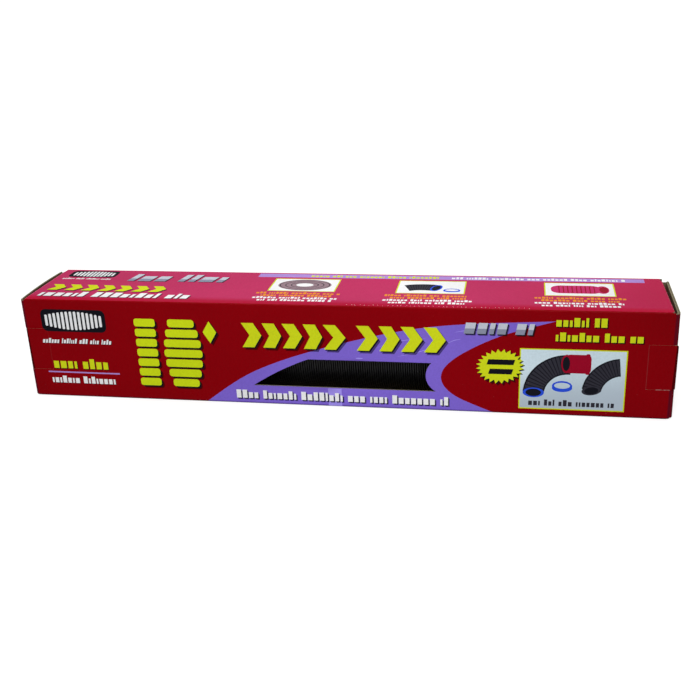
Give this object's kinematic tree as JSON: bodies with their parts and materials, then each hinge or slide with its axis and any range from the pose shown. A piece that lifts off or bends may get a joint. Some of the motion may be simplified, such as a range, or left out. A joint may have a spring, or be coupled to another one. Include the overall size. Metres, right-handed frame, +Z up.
{
  "type": "sewer hose kit",
  "caption": "Compressible ribbed drain hose with sizing rings, stored in a long windowed tuck-end carton whose end flaps, dust flaps, tuck lips and lock tabs fold on creases.",
  "frame": {"origin": "middle of the carton's footprint, on the surface it stands on", "axes": "+X along the carton to its right end, +Y to the back, +Z up; the window faces -Y"},
  "size_m": [0.6158, 0.098, 0.101],
  "materials": {
    "carton_front": "printed, satin varnish",
    "carton_top": "printed, satin varnish",
    "carton_board": "bare brown board",
    "vinyl": "ribbed satin vinyl",
    "wire": "drawn",
    "ring_plastic": "moulded, glossy"
  },
  "bodies": {
    "carton": {"front_panel": "carton_front", "top_panel": "carton_top", "back_panel": "carton_front", "bottom_panel": "carton_front", "seam_flap": "carton_board"},
    "right_end_flap": {"right_end_flap": "carton_front"},
    "right_tuck_lip": {"right_tuck_lip": "carton_board"},
    "right_top_dust_flap": {"right_top_dust_flap": "carton_board"},
    "right_bottom_dust_flap": {"right_bottom_dust_flap": "carton_board"},
    "right_lock_tab": {"right_lock_tab": "carton_front"},
    "left_end_flap": {"left_end_flap": "carton_front"},
    "left_tuck_lip": {"left_tuck_lip": "carton_board"},
    "left_top_dust_flap": {"left_top_dust_flap": "carton_board"},
    "left_bottom_dust_flap": {"left_bottom_dust_flap": "carton_board"},
    "left_lock_tab": {"left_lock_tab": "carton_front"},
    "hose": {"hose_skin": "vinyl", "wire_helix": "wire", "right_cuff": "vinyl", "left_cuff": "vinyl", "right_sizing_ring": "ring_plastic", "left_sizing_ring": "ring_plastic"}
  },
  "joints": [
    {"name": "right_flap_hinge", "type": "hinge", "parent": "carton", "child": "right_end_flap", "pos_m": [0.30432, -0.04812, 0.0505], "axis": [0, 0, -1], "range_deg": [0, 130]},
    {"name": "right_lip_hinge", "type": "hinge", "parent": "right_end_flap", "child": "right_tuck_lip", "pos_m": [0.30532, 0.04457, 0.0505], "axis": [0, 0, -1], "range_deg": [0, 19.5]},
    {"name": "right_top_dust_hinge", "type": "hinge", "parent": "carton", "child": "right_top_dust_flap", "pos_m": [0.30156, 0, 0.10036], "axis": [0, -1, 0], "range_deg": [0, 97.5]},
    {"name": "right_bottom_dust_hinge", "type": "hinge", "parent": "carton", "child": "right_bottom_dust_flap", "pos_m": [0.30156, 0, 0.00064], "axis": [0, 1, 0], "range_deg": [0, 97.5]},
    {"name": "right_tab_hinge", "type": "hinge", "parent": "carton", "child": "right_lock_tab", "pos_m": [0.2822, -0.049, 0.04985], "axis": [0, 0, -1], "range_deg": [0, 75]},
    {"name": "left_flap_hinge", "type": "hinge", "parent": "carton", "child": "left_end_flap", "pos_m": [-0.30432, -0.04812, 0.0505], "axis": [0, 0, 1], "range_deg": [0, 130]},
    {"name": "left_lip_hinge", "type": "hinge", "parent": "left_end_flap", "child": "left_tuck_lip", "pos_m": [-0.30532, 0.04457, 0.0505], "axis": [0, 0, 1], "range_deg": [0, 19.5]},
    {"name": "left_top_dust_hinge", "type": "hinge", "parent": "carton", "child": "left_top_dust_flap", "pos_m": [-0.30156, 0, 0.10036], "axis": [0, 1, 0], "range_deg": [0, 97.5]},
    {"name": "left_bottom_dust_hinge", "type": "hinge", "parent": "carton", "child": "left_bottom_dust_flap", "pos_m": [-0.30156, 0, 0.00064], "axis": [0, -1, 0], "range_deg": [0, 97.5]},
    {"name": "left_tab_hinge", "type": "hinge", "parent": "carton", "child": "left_lock_tab", "pos_m": [-0.2822, -0.049, 0.04985], "axis": [0, 0, 1], "range_deg": [0, 75]},
    {"name": "hose_slide", "type": "slide", "parent": "carton", "child": "hose", "axis": [1, 0, 0], "range_m": [-0.0065, 0.0065]}
  ],
  "couplings": [
    {"joint": "right_lip_hinge", "follows": "right_flap_hinge", "ratio": 0.15},
    {"joint": "right_top_dust_hinge", "follows": "right_flap_hinge", "ratio": 0.75},
    {"joint": "right_bottom_dust_hinge", "follows": "right_flap_hinge", "ratio": 0.75},
    {"joint": "left_lip_hinge", "follows": "left_flap_hinge", "ratio": 0.15},
    {"joint": "left_top_dust_hinge", "follows": "left_flap_hinge", "ratio": 0.75},
    {"joint": "left_bottom_dust_hinge", "follows": "left_flap_hinge", "ratio": 0.75}
  ]
}
